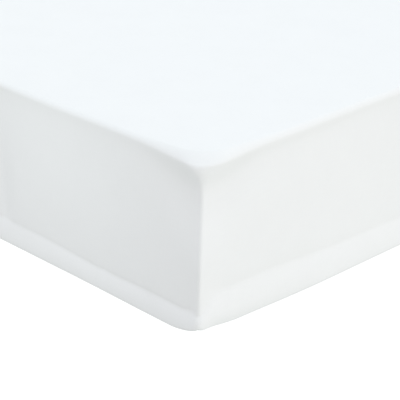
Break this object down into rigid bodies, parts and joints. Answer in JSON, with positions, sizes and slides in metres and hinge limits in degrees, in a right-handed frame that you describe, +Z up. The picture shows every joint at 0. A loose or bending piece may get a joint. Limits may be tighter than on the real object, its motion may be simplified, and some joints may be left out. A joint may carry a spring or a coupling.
{
  "type": "fitted sheet on mattress",
  "caption": "Plain white cotton fitted sheet stretched over a single mattress, with upright corner seams, a soft band over the lower edge and its elastic hem tucked under.",
  "frame": {"origin": "on the floor, under the middle of the mattress", "axes": "+Z up through the mattress, +Y along its length from the foot to the head, +X across it"},
  "size_m": [0.9079, 1.911, 0.2],
  "materials": {
    "white_cotton": "plain woven cotton, matt with a faint sheen",
    "mattress_cover": "plain knitted cover, matt"
  },
  "bodies": {
    "root": {"sheet": "white_cotton", "mattress": "mattress_cover"}
  },
  "joints": []
}
